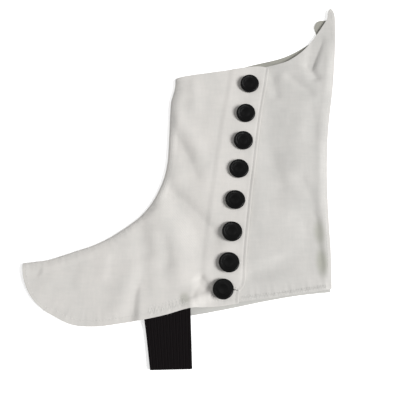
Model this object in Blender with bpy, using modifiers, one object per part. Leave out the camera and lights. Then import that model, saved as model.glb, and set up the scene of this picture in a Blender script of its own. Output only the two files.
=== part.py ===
"""A Highland spat for the left foot, laid flat with its buttoned outer side up.

The tables are in millimetres, measured from the heel corner of the hem: X runs from the toe
(negative) to the heel, Y from the hem up the leg and Z up from the table. Everything hangs on one
empty, which moves the middle of the spat's footprint to the world's origin.
"""
import math
from collections import namedtuple

import bpy
import numpy as np

MM = 0.001

# Driving dimensions, in millimetres.
FOOTPRINT_MIDDLE = (-119.0, 109.0)
CLOTH = 1.2                 # wall of the cotton drill
GAP = 0.3                   # between pieces that lie on each other
FLAP_GAP = 0.5             # between the buttonhole flap and the underlap, whose facets differ
CROWN = 3.8                 # how far the outer side stands off the inner side near its seams
INSTEP_ROLL = 10.0          # width over which it rolls down to the instep seam
BACK_ROLL = 9.0             # and over the turnings of the back seam
BACK_RISE = 30.0            # beyond them it rises more gently
BACK_SHARE = 0.6            # how much of the crown the slope over the turnings makes up
TURNINGS = (0.6, 5.0, 4.5)  # ridge over the back seam's turnings: height, distance in, width
SAG = 1.4                   # how much lower its middle lies than near its seams
SAG_REACH = 60.0
TOE_FALL = 1.6              # how much lower the toe lies than the ankle
PEAK_FALL = 0.6             # share of the crown lost where the sides close at the peak
HEM_FALL = 16.0             # width over which it sinks towards the hem
CLIMB = (0.65, 42.0, 6.0)   # share of the flap's climb made slowly, and the runs of the slow and quick
UNDERLAP = 31.0             # cloth of the back panel under the buttonhole flap
ELASTIC = 1.3               # thickness of the foot strap
BUTTONHOLE_LENGTH = 16.0
BUTTONHOLE_WIDTH = 4.6      # just clear of the shank
CUTTER_DEPTH = 8.0
SHANK_RADIUS = 1.9
BUTTON_SEAT = 6.0           # radius of a button's flat underside, which lies on the cloth

ROW_STEPS = 2               # mesh rows between two sections
FRONT_COLUMNS = 13
BACK_COLUMNS = 13
MEDIAL_COLUMNS = (7, 14)    # over the front three quarters, and over the rest with the peak

# A section is one line of cloth across a panel, from its front point to its rear point. Bow is how
# far its middle stands off the straight line, and top_share how much of the top edge's curve it has.
Section = namedtuple("Section", "front_x front_y rear_x rear_y bow top_share")

FRONT_LEG = [
    Section(-133.5, 200.6, -43.8, 209.7, 0.0, 1.0),
    Section(-133.6, 194.0, -45.3, 201.0, 0.0, 0.75),
    Section(-134.6, 187.0, -46.6, 193.0, 0.0, 0.5),
    Section(-137.2, 176.0, -49.2, 180.0, 0.0, 0.22),
    Section(-138.0, 160.0, -52.8, 161.0, 0.0, 0.0),
    Section(-138.5, 136.0, -57.0, 134.0, 0.0, 0.0),
    Section(-139.4, 116.0, -60.4, 109.0, 0.0, 0.0),
    Section(-142.2, 100.2, -64.1, 84.0, 0.0, 0.0),
    Section(-147.0, 87.0, -67.6, 56.0, 0.0, 0.0),
    Section(-153.3, 75.0, -70.8, 28.0, 0.0, 0.0),
    Section(-160.6, 65.6, -72.6, 5.5, 0.0, 0.0),
    Section(-165.6, 60.7, -77.4, -2.0, 0.0, 0.0),
    Section(-168.7, 58.1, -78.4, -11.2, 0.0, 0.0),
]
FRONT_FOOT = [
    Section(-168.7, 58.1, -78.4, -11.2, 0.0, 0.0),
    Section(-178.9, 50.7, -98.0, -13.8, 0.0, 0.0),
    Section(-190.6, 43.2, -118.9, -14.8, 0.0, 0.0),
    Section(-203.2, 37.1, -138.0, -20.0, 0.0, 0.0),
    Section(-216.7, 32.5, -156.5, -24.0, 0.0, 0.0),
    Section(-229.4, 28.2, -177.0, -27.4, 0.0, 0.0),
    Section(-241.1, 24.5, -197.0, -29.7, 1.0, 0.0),
    Section(-251.4, 23.1, -217.0, -28.1, 3.2, 0.0),
    Section(-262.4, 21.7, -237.1, -18.8, 6.2, 0.0),
]
BACK = [
    Section(-76.0, 207.0, 22.8, 282.0, 0.0, 1.0),
    Section(-76.7, 203.6, 25.2, 277.5, 0.0, 0.93),
    Section(-77.7, 199.0, 25.9, 270.0, 0.0, 0.83),
    Section(-79.0, 192.0, 25.0, 256.0, 0.0, 0.62),
    Section(-81.0, 180.0, 23.3, 238.0, 0.0, 0.38),
    Section(-83.5, 164.0, 20.5, 216.0, 0.0, 0.16),
    Section(-86.0, 144.0, 16.9, 191.0, 0.0, 0.04),
    Section(-88.5, 122.0, 12.6, 167.5, 0.0, 0.0),
    Section(-91.5, 98.0, 8.8, 145.0, 0.0, 0.0),
    Section(-95.0, 72.0, 5.8, 119.0, 0.0, 0.0),
    Section(-98.5, 46.0, 3.7, 90.0, 0.0, 0.0),
    Section(-101.5, 22.0, 2.7, 60.0, 0.0, 0.0),
    Section(-103.5, 4.0, 2.2, 30.0, 0.0, 0.0),
    Section(-106.5, -12.8, 0.6, 0.8, 0.8, 0.0),
]
MEDIAL_LEG = [
    Section(-133.5, 202.0, 22.6, 280.0, 0.0, 1.0),
    Section(-134.4, 189.0, 25.6, 262.0, 0.0, 0.86),
    Section(-136.4, 175.0, 23.0, 238.0, 0.0, 0.75),
    Section(-137.6, 158.0, 19.2, 208.0, 0.0, 0.4),
    Section(-138.3, 136.0, 13.8, 176.0, 0.0, 0.04),
    Section(-139.2, 116.0, 8.8, 146.0, 0.0, 0.0),
    Section(-142.0, 100.2, 5.3, 118.0, 0.0, 0.0),
    Section(-146.8, 86.8, 3.5, 90.0, 0.0, 0.0),
    Section(-153.1, 74.8, 2.5, 60.0, 0.0, 0.0),
    Section(-160.4, 65.4, 2.0, 30.0, 0.0, 0.0),
    Section(-168.6, 57.9, 0.0, -1.7, 0.0, 0.0),
]
MEDIAL_FOOT = [
    Section(-168.6, 57.9, 0.0, -1.7, 0.0, 0.0),
    Section(-173.8, 54.3, -27.0, -4.5, 0.0, 0.0),
    Section(-178.9, 50.5, -56.0, -9.3, 0.0, 0.0),
    Section(-184.5, 46.9, -88.0, -15.7, 0.0, 0.0),
    Section(-190.6, 43.0, -119.0, -21.0, 0.0, 0.0),
    Section(-203.2, 36.9, -140.0, -22.4, 0.0, 0.0),
    Section(-216.7, 32.3, -160.0, -23.9, 0.0, 0.0),
    Section(-229.4, 28.0, -178.0, -26.8, 0.0, 0.0),
    Section(-241.1, 24.2, -197.4, -29.0, 1.0, 0.0),
    Section(-251.3, 22.7, -217.0, -27.4, 3.2, 0.0),
    Section(-261.9, 21.2, -236.8, -18.3, 6.0, 0.0),
]

# Top edges, from the front to the rear.
FRONT_TOP = [
    (-133.5, 200.6), (-110.6, 204.7), (-86.0, 208.2), (-60.0, 212.4), (-49.5, 212.2), (-43.8, 209.7),
]
BACK_TOP = [
    (-76.0, 206.8), (-60.0, 210.2), (-37.2, 215.2), (-24.0, 220.0), (-11.0, 230.0), (-1.0, 241.4),
    (5.7, 250.6), (10.2, 257.2), (14.3, 263.6), (17.8, 269.2), (19.4, 275.0), (20.4, 280.4), (22.8, 282.0),
]
MEDIAL_TOP = [
    (-133.5, 202.0), (-110.6, 204.6), (-89.0, 208.6), (-72.3, 213.4), (-56.5, 217.8), (-30.6, 224.8),
    (-14.0, 232.8), (-4.0, 239.4), (3.2, 245.2), (6.6, 249.8), (7.2, 254.5), (7.5, 259.0), (7.8, 263.5),
    (9.2, 267.2), (12.6, 268.7), (16.8, 268.9), (20.2, 272.4), (22.6, 280.0),
]
TAB_LEAN = 2.6              # how far the inner side's rounded tab leans out over its top edge
TAB_MIDDLE = 261.0
TAB_SPAN = 7.0
TAB_REACH = (10.0, 22.0)    # it leans fully up to the first X, and not at all past the second

# A fold is a soft ridge (height above 0) or trough from start to end, bent sideways by its middle.
Fold = namedtuple("Fold", "start_x start_y end_x end_y bend height width")

FOLDS = [
    Fold(-139.0, 88.0, -99.5, 43.0, 1.0, -1.6, 8.0),       # long fold down from the ankle
    Fold(-148.0, 76.0, -128.0, 12.0, 3.0, 1.7, 13.0),
    Fold(-151.0, 45.0, -147.0, -12.0, 0.0, 0.9, 9.0),
    Fold(-133.0, 138.0, -115.5, 101.0, 0.0, -0.9, 8.0),
    Fold(-134.0, 162.0, -109.0, 120.0, 0.0, 0.9, 9.0),
    Fold(-141.5, 44.0, -140.0, 22.0, 0.0, -0.7, 6.0),
    Fold(-166.0, 22.0, -179.5, -19.0, 0.0, 0.9, 9.0),
    Fold(-158.5, -8.5, -172.5, -21.0, 0.0, -1.0, 7.0),
    Fold(-113.0, 11.0, -104.0, 0.0, 0.0, -0.8, 8.0),       # pull towards the last button
    Fold(-102.0, -1.0, -119.5, -11.0, 1.5, 0.9, 9.0),
    Fold(-58.0, 125.0, -60.0, 60.0, 0.0, 0.8, 10.0),
    Fold(-46.0, 124.0, -39.0, 90.0, 0.0, -0.8, 8.0),
    Fold(-25.0, 203.0, -4.0, 184.0, 0.0, -0.8, 7.0),
    Fold(-70.0, 12.0, -28.0, 28.0, 0.0, -1.2, 8.0),
    Fold(-10.0, 62.0, -9.0, 12.0, 0.0, -1.6, 7.0),         # trough beside the back seam
    Fold(8.0, 246.0, -3.0, 214.0, 1.0, -1.4, 7.0),         # fold at the foot of the peak
]

# Middle of each button, its tilt in degrees about the Y axis with the lift that this needs, and how
# far its buttonhole lies towards the flap's edge.
ButtonPlace = namedtuple("ButtonPlace", "x y tilt lift hole_shift")

BUTTONS = [
    ButtonPlace(-63.4, 192.6, 0.0, 0.0, 0.0),
    ButtonPlace(-67.9, 161.8, 0.0, 0.0, 0.0),
    ButtonPlace(-71.0, 134.2, 0.0, 0.0, 0.0),
    ButtonPlace(-75.6, 106.8, 0.0, 0.0, 0.0),
    ButtonPlace(-79.6, 77.6, 0.0, 0.0, 0.0),
    ButtonPlace(-82.9, 49.2, 0.0, 0.0, 0.0),
    ButtonPlace(-86.0, 22.4, 0.0, 0.0, 0.0),
    ButtonPlace(-91.0, 0.0, -5.0, 0.9, 3.4),
]

# Turned profile of a button: radius and height above its underside, from the face's middle down.
BUTTON_PROFILE = [
    (0.0, 2.5), (4.2, 2.5), (6.2, 2.9), (7.5, 3.2), (8.3, 2.9),
    (8.8, 2.1), (8.5, 1.1), (7.4, 0.4), (5.0, 0.0), (SHANK_RADIUS, 0.0),
]

# The strap's loop seen from the side: how far along the leg, and the height of its middle line.
STRAP_PATH = [
    (-6.0, 2.15), (-16.0, 2.15), (-26.5, 2.15), (-31.0, 1.2), (-35.0, 0.65), (-48.0, 0.65),
    (-60.2, 0.65), (-61.9, 1.2), (-61.9, 2.2), (-60.2, 2.75), (-48.0, 2.25), (-35.0, 2.25),
    (-31.0, 2.8), (-26.5, 3.75), (-16.0, 3.75), (-6.0, 3.75),
]
STRAP_TOP = (-159.4, -118.9, -6.0)      # left edge, right edge and height of the sewn ends
STRAP_BOTTOM = (-150.9, -117.0, -62.0)
STRAP_COLUMNS = 4


def smooth(points, steps):
    """Points of a Catmull-Rom curve through the given ones, with `steps` spans between each two."""
    known = np.asarray(points, dtype=float)
    known = np.vstack([2 * known[0] - known[1], known, 2 * known[-1] - known[-2]])
    curve = []
    for a, b, c, d in zip(known, known[1:], known[2:], known[3:]):
        for step in range(steps):
            t = step / steps
            curve.append(b + 0.5 * t * (c - a + t * (2 * a - 5 * b + 4 * c - d
                                                      + t * (3 * (b - c) + d - a))))
    curve.append(known[-2])
    return np.array(curve)


def at_shares(curve, shares):
    """Points at the given shares of a polyline's length."""
    lengths = np.linalg.norm(np.diff(curve, axis=0), axis=1)
    along = np.concatenate([[0.0], np.cumsum(lengths)]) / lengths.sum()
    return np.column_stack([np.interp(shares, along, curve[:, k]) for k in range(2)])


def distance_to(points, curve):
    """Distance from each point to a polyline."""
    starts = curve[:-1]
    runs = curve[1:] - starts
    offsets = points[:, None, :] - starts
    share = np.clip((offsets * runs).sum(axis=2) / (runs ** 2).sum(axis=1), 0.0, 1.0)
    return np.linalg.norm(offsets - share[..., None] * runs, axis=2).min(axis=1)


def ease(x):
    """Smooth step from 0 to 1."""
    x = np.clip(x, 0.0, 1.0)
    return x * x * (3.0 - 2.0 * x)


def side(sections, which, steps=6):
    """One edge of a panel as a smooth curve; which is front or rear."""
    points = [(getattr(s, which + "_x"), getattr(s, which + "_y")) for s in sections]
    return smooth(points, steps)


INSTEP = side(FRONT_LEG + FRONT_FOOT[1:], "front")
BACK_SEAM = side(BACK, "rear")
FLAP_EDGE = side(FRONT_LEG, "rear")
HEM = np.vstack([side(FRONT_FOOT, "rear")[::-1], [(0.6, 0.8)]])


def flap_edge_x(y):
    """X of the buttonhole flap's edge at a height on the leg."""
    order = np.argsort(FLAP_EDGE[:, 1])
    return np.interp(y, FLAP_EDGE[order, 1], FLAP_EDGE[order, 0])


def fold_height(points):
    """Sum of the folds at each point, in millimetres."""
    height = np.zeros(len(points))
    for fold in FOLDS:
        start = np.array([fold.start_x, fold.start_y])
        end = np.array([fold.end_x, fold.end_y])
        run = end - start
        length = np.linalg.norm(run)
        sideways = np.array([-run[1], run[0]]) / length
        along = (points - start) @ run / length ** 2
        across = (points - start) @ sideways - fold.bend * 4 * along * (1 - along)
        fade = ease((along + 0.25) / 0.4) * ease((1.25 - along) / 0.4)
        height += fold.height * fade * np.exp(-(across / fold.width) ** 2)
    return height


def outer_side_height(points):
    """Underside of the outer side's lower layer, from the crown, the strap beneath it and the folds."""
    to_instep = distance_to(points, INSTEP)
    to_seam = distance_to(points, BACK_SEAM)
    edge = np.minimum(to_instep, to_seam)
    roll = np.clip(to_instep / INSTEP_ROLL, 0.0, 1.0)
    slope = np.clip(to_seam / BACK_ROLL, 0.0, 1.0)
    beside_seam = BACK_SHARE * slope * (2.0 - slope) + (1.0 - BACK_SHARE) * ease(to_seam / BACK_RISE)
    crown = CROWN * np.sqrt(roll * (2.0 - roll)) * beside_seam - SAG * ease(edge / SAG_REACH)
    ridge, inset, spread = TURNINGS
    crown += ridge * np.exp(-((to_seam - inset) / spread) ** 2) * slope * roll
    crown -= TOE_FALL * ease((-140.0 - points[:, 0]) / 110.0) * roll
    crown *= 1.0 - PEAK_FALL * ease((points[:, 1] - 215.0) / 45.0)
    crown *= 0.45 + 0.55 * ease(distance_to(points, HEM) / HEM_FALL)
    lying = CLOTH + GAP + crown + fold_height(points) * ease(edge / 8.0)
    lying = np.maximum(lying, CLOTH + GAP)
    left, right, end = STRAP_TOP
    outside = np.maximum.reduce([left - points[:, 0], points[:, 0] - right, points[:, 1] - end, 0 * lying])
    strap_top = CLOTH + 4 * GAP + 2 * ELASTIC
    return np.maximum(lying, strap_top - 3.0 * ease(outside / 14.0))


def flap_height(points):
    """Underside of the front panel, which climbs onto the back panel's underlap."""
    past_underlap = points[:, 0] - (flap_edge_x(points[:, 1]) - UNDERLAP)
    slow, run, step = CLIMB
    climb = slow * ease((past_underlap + run + 3.0) / run)
    climb += (1.0 - slow) * ease((past_underlap + step + 2.0) / step)
    climb *= CLOTH + FLAP_GAP
    return outer_side_height(points) + climb


def flat_height(points):
    """Underside of the inner side, which lies flat on the table."""
    return np.zeros(len(points))


def section_rows(sections, top_edge, shares):
    """Rows of points across a panel, one for each smoothed section."""
    straight_top = None
    rows = []
    for front_x, front_y, rear_x, rear_y, bow, top_share in smooth(sections, ROW_STEPS):
        front = np.array([front_x, front_y])
        run = np.array([rear_x, rear_y]) - front
        normal = np.array([run[1], -run[0]]) / np.linalg.norm(run)
        row = front + shares[:, None] * run + bow * (4 * shares * (1 - shares))[:, None] * normal
        if top_edge is not None:
            if straight_top is None:
                straight_top = row
            row = row + top_share * (at_shares(smooth(top_edge, 8), shares) - straight_top)
        rows.append(row)
    return rows


def grid_object(name, rows, heights, material, collection):
    """A sheet of quads through rows of points, each as long as the others."""
    columns = len(rows[0])
    points = [(x * MM, y * MM, z * MM) for row, row_z in zip(rows, heights) for (x, y), z in zip(row, row_z)]
    faces = []
    for r in range(len(rows) - 1):
        for c in range(columns - 1):
            corner = r * columns + c
            faces.append((corner, corner + columns, corner + columns + 1, corner + 1))
    mesh = bpy.data.meshes.new(name)
    mesh.from_pydata(points, [], faces)
    mesh.materials.append(material)
    mesh.shade_smooth()
    sheet = bpy.data.objects.new(name, mesh)
    collection.objects.link(sheet)
    return sheet


def thicken(sheet, thickness, offset):
    """Give an open sheet its thickness."""
    solidify = sheet.modifiers.new("thickness", "SOLIDIFY")
    solidify.thickness = thickness * MM
    solidify.offset = offset
    solidify.use_even_offset = True


def make_panel(name, rows, height, material, collection):
    """A cloth panel: a sheet at its underside, thickened upwards."""
    heights = [height(row) for row in rows]
    panel = grid_object(name, rows, heights, material, collection)
    thicken(panel, CLOTH, 1.0)
    return panel


def make_material(name, colour, roughness, metallic=0.0):
    """A Principled material with one colour."""
    material = bpy.data.materials.new(name)
    material.use_nodes = True
    shader = material.node_tree.nodes["Principled BSDF"]
    shader.inputs["Base Color"].default_value = (*colour, 1.0)
    shader.inputs["Roughness"].default_value = roughness
    shader.inputs["Metallic"].default_value = metallic
    return material


def make_front_panel(collection):
    """Outer vamp and front leg, with the buttonhole flap along its rear edge."""
    shares = np.linspace(0.0, 1.0, FRONT_COLUMNS) ** 1.15
    leg = section_rows(FRONT_LEG, FRONT_TOP, shares)
    foot = section_rows(FRONT_FOOT, None, shares)
    cotton = make_material("front_cotton", (0.80, 0.79, 0.76), 0.85)
    return make_panel("front_panel", leg + foot[1:], flap_height, cotton, collection)


def make_back_panel(collection):
    """Outer quarter with its underlap, up to the peak at the back of the leg."""
    shares = 1.0 - np.linspace(1.0, 0.0, BACK_COLUMNS) ** 1.2
    rows = section_rows(BACK, BACK_TOP, shares)
    cotton = make_material("back_cotton", (0.80, 0.79, 0.76), 0.85)
    return make_panel("back_panel", rows, outer_side_height, cotton, collection)


def lean_tab(row):
    """Move a row of the inner side where it crosses the rounded tab below the peak."""
    start, end = TAB_REACH
    lean = TAB_LEAN * np.exp(-((row[:, 1] - TAB_MIDDLE) / TAB_SPAN) ** 2)
    lean *= ease((end - row[:, 0]) / (end - start))
    return row - np.column_stack([lean, np.zeros(len(row))])


def make_medial_panel(collection):
    """Inner side of the spat, flat on the table."""
    coarse, fine = MEDIAL_COLUMNS
    shares = np.concatenate([np.linspace(0.0, 0.75, coarse)[:-1], np.linspace(0.75, 1.0, fine)])
    leg = [lean_tab(row) for row in section_rows(MEDIAL_LEG, MEDIAL_TOP, shares)]
    foot = section_rows(MEDIAL_FOOT, None, shares)
    cotton = make_material("medial_cotton", (0.60, 0.59, 0.56), 0.9)
    return make_panel("medial_panel", leg + foot[1:], flat_height, cotton, collection)


def make_foot_strap(collection):
    """Loop of elastic: one end on the inner side, one under the outer side, folded at the bottom."""
    path = smooth(STRAP_PATH, 2)
    span = STRAP_TOP[2] - STRAP_BOTTOM[2]
    rows = []
    for y, _ in path:
        down = (STRAP_TOP[2] - y) / span
        left = STRAP_TOP[0] + down * (STRAP_BOTTOM[0] - STRAP_TOP[0])
        right = STRAP_TOP[1] + down * (STRAP_BOTTOM[1] - STRAP_TOP[1])
        rows.append([(x, y) for x in np.linspace(left, right, STRAP_COLUMNS)])
    heights = [[z] * STRAP_COLUMNS for _, z in path]
    elastic = make_material("elastic", (0.007, 0.006, 0.006), 0.8)
    strap = grid_object("foot_strap", rows, heights, elastic, collection)
    thicken(strap, ELASTIC, 0.0)
    return strap


def flap_surface(x, y):
    """Height of the flap's upper face at one place."""
    return flap_height(np.array([[x, y]]))[0] + CLOTH


def button_profile_mesh(shank_length):
    """Half outline of a button, from the middle of its face down its outer side to the shank's end."""
    outline = BUTTON_PROFILE + [(SHANK_RADIUS, -shank_length), (0.0, -shank_length)]
    mesh = bpy.data.meshes.new("button_profile")
    points = [(radius * MM, 0.0, height * MM) for radius, height in outline]
    edges = [(k, k + 1) for k in range(len(points) - 1)]
    mesh.from_pydata(points, edges, [])
    return mesh


def make_button(number, place, material, collection):
    """A dished shank button, turned about its own axis."""
    rim = [(place.x + BUTTON_SEAT * math.cos(turn), place.y + BUTTON_SEAT * math.sin(turn))
           for turn in np.linspace(0.0, 2.0 * math.pi, 12, endpoint=False)]
    cloth = max(flap_surface(x, y) for x, y in rim + [(place.x, place.y)])
    seat = cloth + GAP + place.lift
    underlap_face = outer_side_height(np.array([[place.x, place.y]]))[0] + CLOTH
    mesh = button_profile_mesh(seat - underlap_face - GAP)
    mesh.materials.append(material)
    button = bpy.data.objects.new("button_%d" % number, mesh)
    button.location = (place.x * MM, place.y * MM, seat * MM)
    button.rotation_euler = (0.0, math.radians(place.tilt), 0.0)
    collection.objects.link(button)
    turning = button.modifiers.new("turning", "SCREW")
    turning.axis = "Z"
    turning.steps = 20
    turning.render_steps = 20
    turning.use_merge_vertices = True
    turning.merge_threshold = 0.00001
    turning.use_smooth_shade = True
    return button


def cut_buttonhole(panel, number, place, cutters):
    """Cut one buttonhole through the flap with a flat box."""
    bpy.ops.mesh.primitive_cube_add(size=1.0)
    cutter = bpy.context.object
    cutter.name = "buttonhole_%d" % number
    middle_x = place.x + place.hole_shift
    middle_z = flap_surface(middle_x, place.y) - CLOTH / 2
    cutter.location = (middle_x * MM, place.y * MM, middle_z * MM)
    cutter.dimensions = (BUTTONHOLE_LENGTH * MM, BUTTONHOLE_WIDTH * MM, CUTTER_DEPTH * MM)
    cutter.hide_render = True
    cutter.display_type = "WIRE"
    for home in list(cutter.users_collection):
        home.objects.unlink(cutter)
    cutters.objects.link(cutter)
    hole = panel.modifiers.new("buttonhole_%d" % number, "BOOLEAN")
    hole.operation = "DIFFERENCE"
    hole.solver = "EXACT"
    hole.object = cutter
    return cutter


def new_collection(name):
    """A collection linked to the scene."""
    collection = bpy.data.collections.new(name)
    bpy.context.scene.collection.children.link(collection)
    return collection


def main():
    """Build the spat."""
    for thing in list(bpy.data.objects):
        bpy.data.objects.remove(thing, do_unlink=True)
    spat = new_collection("highland_spat")
    cutters = new_collection("cutters")
    origin = bpy.data.objects.new("spat_origin", None)
    origin.location = (-FOOTPRINT_MIDDLE[0] * MM, -FOOTPRINT_MIDDLE[1] * MM, 0.0)
    spat.objects.link(origin)

    front_panel = make_front_panel(spat)
    pieces = [front_panel, make_back_panel(spat), make_medial_panel(spat), make_foot_strap(spat)]
    glossy_black = make_material("button_black", (0.006, 0.006, 0.006), 0.35)
    for number, place in enumerate(BUTTONS, start=1):
        pieces.append(make_button(number, place, glossy_black, spat))
        pieces.append(cut_buttonhole(front_panel, number, place, cutters))
    for piece in pieces:
        piece.parent = origin


main()
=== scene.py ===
"""A white Highland spat lying flat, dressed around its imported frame.

Lengths in the tables are millimetres, measured from the heel corner of the hem: X runs from the toe
(negative) to the heel, Y from the hem up the leg and Z up from the table.
"""
import math
from collections import namedtuple

import bpy
import numpy as np
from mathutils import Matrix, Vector, noise

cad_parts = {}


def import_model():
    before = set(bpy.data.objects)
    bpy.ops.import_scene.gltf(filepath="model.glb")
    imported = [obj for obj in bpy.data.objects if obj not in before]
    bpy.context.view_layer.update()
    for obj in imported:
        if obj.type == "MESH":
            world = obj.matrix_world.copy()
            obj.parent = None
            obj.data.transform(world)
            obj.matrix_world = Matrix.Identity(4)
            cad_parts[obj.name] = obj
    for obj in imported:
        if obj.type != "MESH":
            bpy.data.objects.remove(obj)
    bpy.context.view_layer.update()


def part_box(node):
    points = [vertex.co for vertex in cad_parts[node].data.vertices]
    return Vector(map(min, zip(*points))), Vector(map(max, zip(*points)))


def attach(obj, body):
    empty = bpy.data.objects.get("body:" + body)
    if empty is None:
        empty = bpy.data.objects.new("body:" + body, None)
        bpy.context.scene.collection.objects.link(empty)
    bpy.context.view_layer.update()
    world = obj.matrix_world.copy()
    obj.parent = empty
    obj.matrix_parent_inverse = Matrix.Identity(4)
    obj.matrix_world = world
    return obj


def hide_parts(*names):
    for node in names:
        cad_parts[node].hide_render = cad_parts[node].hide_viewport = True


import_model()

MM = 0.001

# The frame's middle, seen from the heel corner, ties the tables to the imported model.
FOOTPRINT_MIDDLE = (-119.0, 109.0)

# The cut, as the frame has it.
CLOTH = 1.2
GAP = 0.3
FLAP_GAP = 0.5
CROWN = 3.8
SAG = 1.4                   # how much lower the middle lies than the springy folded edges
SAG_REACH = 60.0
INSTEP_ROLL = 10.0
BACK_ROLL = 9.0             # the back seam's turnings make a flatter slope beside it
BACK_RISE = 30.0
BACK_SHARE = 0.6            # how much of the crown the slope over the turnings makes up
TURNINGS = (0.6, 5.0, 4.5)  # ridge over the back seam's turnings: height, distance in, width
TOE_FALL = 1.6              # how much lower the toe lies than the ankle
TOE_RUN = (-140.0, 110.0)   # X where that fall starts, and the run it takes
PEAK_FALL = 0.6             # share of the crown lost where the sides close at the peak
PEAK_RUN = (215.0, 45.0)    # Y where that loss starts, and the run it takes
HEM_FALL = 16.0             # the crown falls off towards the hem over this run
HEM_SHARE = 0.45            # share of the crown that is left at the hem
STIFF_EDGE = 8.0            # folds and slack fade out this near a folded edge
SLACK = ((0.9, 30.0, 1.5), (0.3, 12.0, 4.5))    # soft unevenness: height, size and seed
RESTING = (0.1, 0.3)        # least gap to the inner side, and how softly a trough comes to rest
CLIMB = (0.65, 42.0, 6.0)   # share of the flap's climb made slowly, and the runs of the slow and quick
CLIMB_ENDS = (3.0, 2.0)     # how far before the underlap's edge the slow and the quick climb end
UNDERLAP = 31.0
FLAP_FADE = 4.0             # the back hem's relief fades in over this much past the flap
INNER_RIM = (9.0, 12.0)     # the inner side lies flat this near its edges, and creases freely this much on
ELASTIC = 1.3
SHANK_RADIUS = 1.9
BUTTONHOLE_LENGTH = 16.0

# How fine the cloth is.
ROW_STEPS = 18
FRONT_COLUMNS = 96
BACK_COLUMNS = 96
MEDIAL_ROW_STEPS = 8
MEDIAL_COLUMNS = (40, 60)
MEDIAL_SPLIT = 0.75         # share of the inner side's width that the first of these cover
TOP_STEPS = 12
HEM_STEPS = 12
TOE_POINTS = 24
TOE_STEPS = 2
STRAP_STEPS = 5
EDGE_ROUNDING = 0.4
ROUNDING_ANGLE = 50.0       # edges sharper than this are rounded, in degrees

# A section is one line of cloth across a panel, from its front point to its rear point. Bow is how
# far its middle stands off the straight line, and top_share how much of the top edge's curve it has.
Section = namedtuple("Section", "front_x front_y rear_x rear_y bow top_share")

FRONT_LEG = [
    Section(-133.5, 200.6, -43.8, 209.7, 0.0, 1.0),
    Section(-133.6, 194.0, -45.3, 201.0, 0.0, 0.75),
    Section(-134.6, 187.0, -46.6, 193.0, 0.0, 0.5),
    Section(-137.2, 176.0, -49.2, 180.0, 0.0, 0.22),
    Section(-138.0, 160.0, -52.8, 161.0, 0.0, 0.0),
    Section(-138.5, 136.0, -57.0, 134.0, 0.0, 0.0),
    Section(-139.4, 116.0, -60.4, 109.0, 0.0, 0.0),
    Section(-142.2, 100.2, -64.1, 84.0, 0.0, 0.0),
    Section(-147.0, 87.0, -67.6, 56.0, 0.0, 0.0),
    Section(-153.3, 75.0, -70.8, 28.0, 0.0, 0.0),
    Section(-160.6, 65.6, -72.6, 5.5, 0.0, 0.0),
    Section(-165.6, 60.7, -77.4, -2.0, 0.0, 0.0),
    Section(-168.7, 58.1, -78.4, -11.2, 0.0, 0.0),
]
FRONT_FOOT = [
    Section(-168.7, 58.1, -78.4, -11.2, 0.0, 0.0),
    Section(-178.9, 50.7, -98.0, -13.8, 0.0, 0.0),
    Section(-190.6, 43.2, -118.9, -14.8, 0.0, 0.0),
    Section(-203.2, 37.1, -138.0, -20.0, 0.0, 0.0),
    Section(-216.7, 32.5, -156.5, -24.0, 0.0, 0.0),
    Section(-229.4, 28.2, -177.0, -27.4, 0.0, 0.0),
    Section(-241.1, 24.5, -197.0, -29.7, 1.0, 0.0),
    Section(-251.4, 23.1, -217.0, -28.1, 3.2, 0.0),
    Section(-262.4, 21.7, -237.1, -18.8, 6.2, 0.0),
]
BACK = [
    Section(-76.0, 207.0, 22.8, 282.0, 0.0, 1.0),
    Section(-76.7, 203.6, 25.2, 277.5, 0.0, 0.93),
    Section(-77.7, 199.0, 25.9, 270.0, 0.0, 0.83),
    Section(-79.0, 192.0, 25.0, 256.0, 0.0, 0.62),
    Section(-81.0, 180.0, 23.3, 238.0, 0.0, 0.38),
    Section(-83.5, 164.0, 20.5, 216.0, 0.0, 0.16),
    Section(-86.0, 144.0, 16.9, 191.0, 0.0, 0.04),
    Section(-88.5, 122.0, 12.6, 167.5, 0.0, 0.0),
    Section(-91.5, 98.0, 8.8, 145.0, 0.0, 0.0),
    Section(-95.0, 72.0, 5.8, 119.0, 0.0, 0.0),
    Section(-98.5, 46.0, 3.7, 90.0, 0.0, 0.0),
    Section(-101.5, 22.0, 2.7, 60.0, 0.0, 0.0),
    Section(-103.5, 4.0, 2.2, 30.0, 0.0, 0.0),
    Section(-106.5, -12.8, 0.6, 0.8, 0.8, 0.0),
]
MEDIAL_LEG = [
    Section(-133.5, 202.0, 22.6, 280.0, 0.0, 1.0),
    Section(-134.4, 189.0, 25.6, 262.0, 0.0, 0.86),
    Section(-136.4, 175.0, 23.0, 238.0, 0.0, 0.75),
    Section(-137.6, 158.0, 19.2, 208.0, 0.0, 0.4),
    Section(-138.3, 136.0, 13.8, 176.0, 0.0, 0.04),
    Section(-139.2, 116.0, 8.8, 146.0, 0.0, 0.0),
    Section(-142.0, 100.2, 5.3, 118.0, 0.0, 0.0),
    Section(-146.8, 86.8, 3.5, 90.0, 0.0, 0.0),
    Section(-153.1, 74.8, 2.5, 60.0, 0.0, 0.0),
    Section(-160.4, 65.4, 2.0, 30.0, 0.0, 0.0),
    Section(-168.6, 57.9, 0.0, -1.7, 0.0, 0.0),
]
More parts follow.
